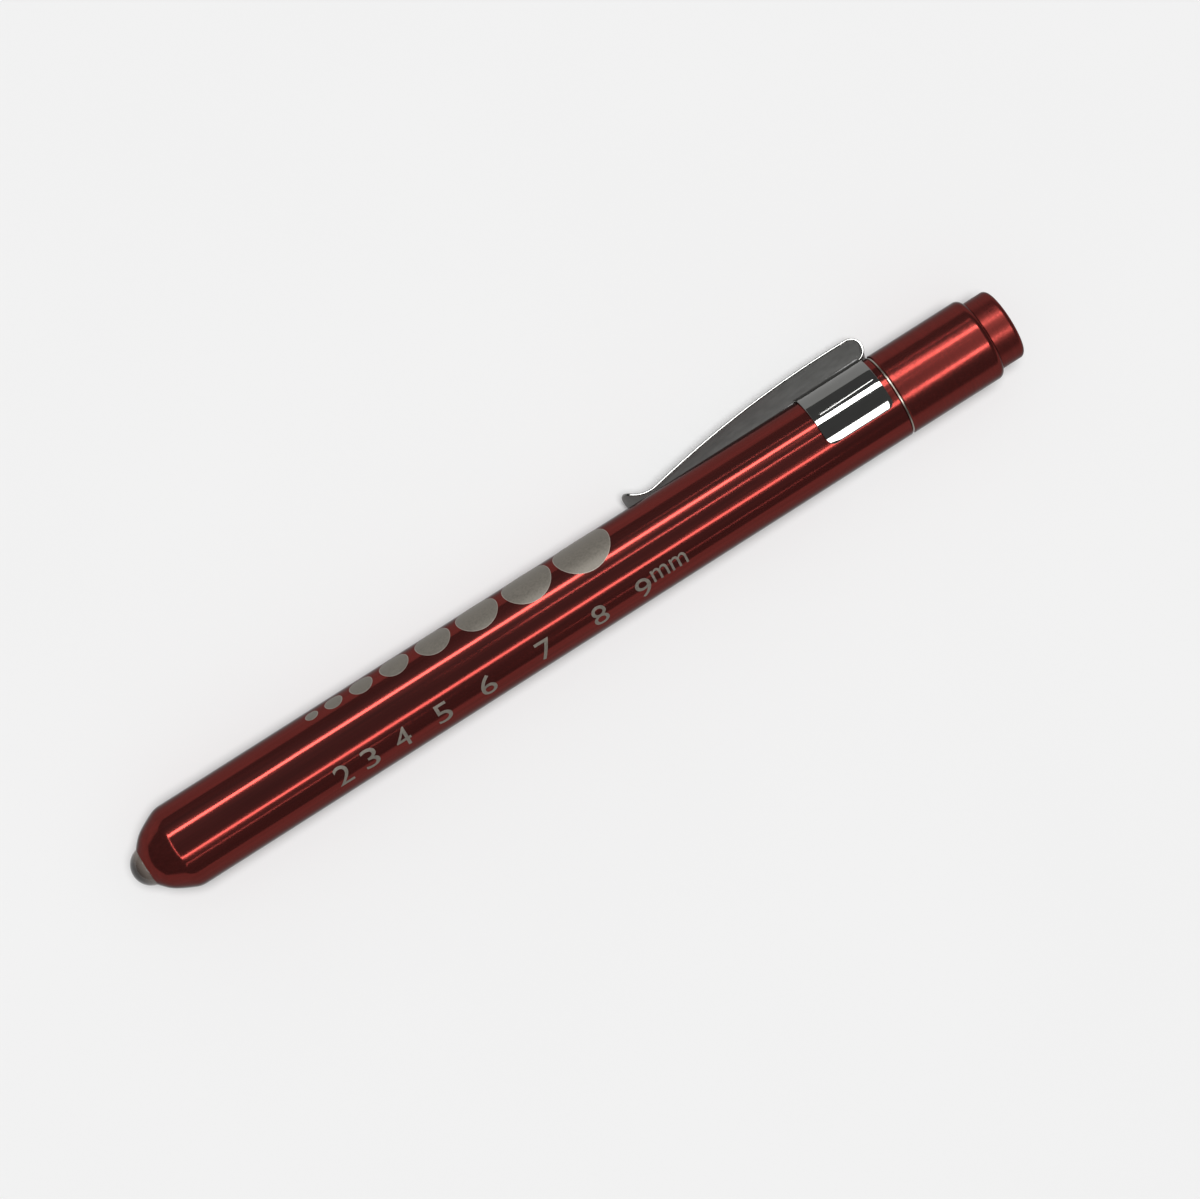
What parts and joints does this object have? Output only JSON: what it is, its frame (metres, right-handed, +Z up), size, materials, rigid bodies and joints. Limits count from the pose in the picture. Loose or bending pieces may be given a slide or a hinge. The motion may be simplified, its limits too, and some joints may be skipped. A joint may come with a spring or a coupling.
{
  "type": "penlight",
  "caption": "Slim metal penlight with a domed lens in a conical nose, a sprung pocket clip, a pupil gauge on the barrel and a push button in its screwed tail cap.",
  "frame": {"origin": "on the barrel's axis, at the tail cap's front face", "axes": "+X along the barrel towards the tail, +Z up as the penlight lies on its clip, +Y towards the clip"},
  "size_m": [0.1486, 0.0169, 0.0138],
  "materials": {
    "red_anodised": "polished, red anodised",
    "clear_lens": "clear moulded",
    "led_epoxy": "clear cast",
    "tinned_lead": "tinned",
    "white_plastic": "moulded",
    "turned_brass": "turned",
    "strip_brass": "rolled strip",
    "cell_steel": "nickel plated",
    "cell_wrap": "shrunk film",
    "cell_nylon": "moulded",
    "bright_plate": "bright plated",
    "seal_rubber": "moulded",
    "bare_metal": "turned, nickel plated",
    "spring_wire": "drawn wire",
    "black_plastic": "moulded"
  },
  "bodies": {
    "barrel": {"barrel": "red_anodised", "lens": "clear_lens", "led_body": "led_epoxy", "led_leads": "tinned_lead", "led_holder": "white_plastic", "front_contact": "turned_brass", "ground_strip": "strip_brass", "front_cell_can": "cell_steel", "front_cell_sleeve": "cell_wrap", "front_cell_seal": "cell_nylon", "front_cell_base": "cell_steel", "rear_cell_can": "cell_steel", "rear_cell_sleeve": "cell_wrap", "rear_cell_seal": "cell_nylon", "rear_cell_base": "cell_steel", "pocket_clip": "bright_plate"},
    "seal_ring": {"o_ring": "seal_rubber"},
    "tail_cap": {"tail_cap": "red_anodised", "thread_coupling": "bare_metal", "battery_spring": "spring_wire", "contact_plate": "strip_brass", "insulator_bush": "black_plastic", "return_spring": "spring_wire"},
    "button": {"push_button": "red_anodised", "plunger": "turned_brass", "retaining_ring": "spring_wire"}
  },
  "joints": [
    {"name": "tail_cap_draw", "type": "slide", "parent": "barrel", "child": "seal_ring", "axis": [1, 0, 0], "range_m": [0, 0.006]},
    {"name": "tail_cap_turn", "type": "hinge", "parent": "seal_ring", "child": "tail_cap", "pos_m": [0, 0, 0], "axis": [1, 0, 0], "range_deg": [0, 2160]},
    {"name": "button_press", "type": "slide", "parent": "tail_cap", "child": "button", "axis": [-1, 0, 0], "range_m": [0, 0.002], "stiffness_N_per_m": 700, "springref_m": -0.002, "deforming": ["return_spring"]}
  ],
  "couplings": [
    {"joint": "tail_cap_draw", "follows": "tail_cap_turn", "m_per_rad": 0.00015915}
  ]
}
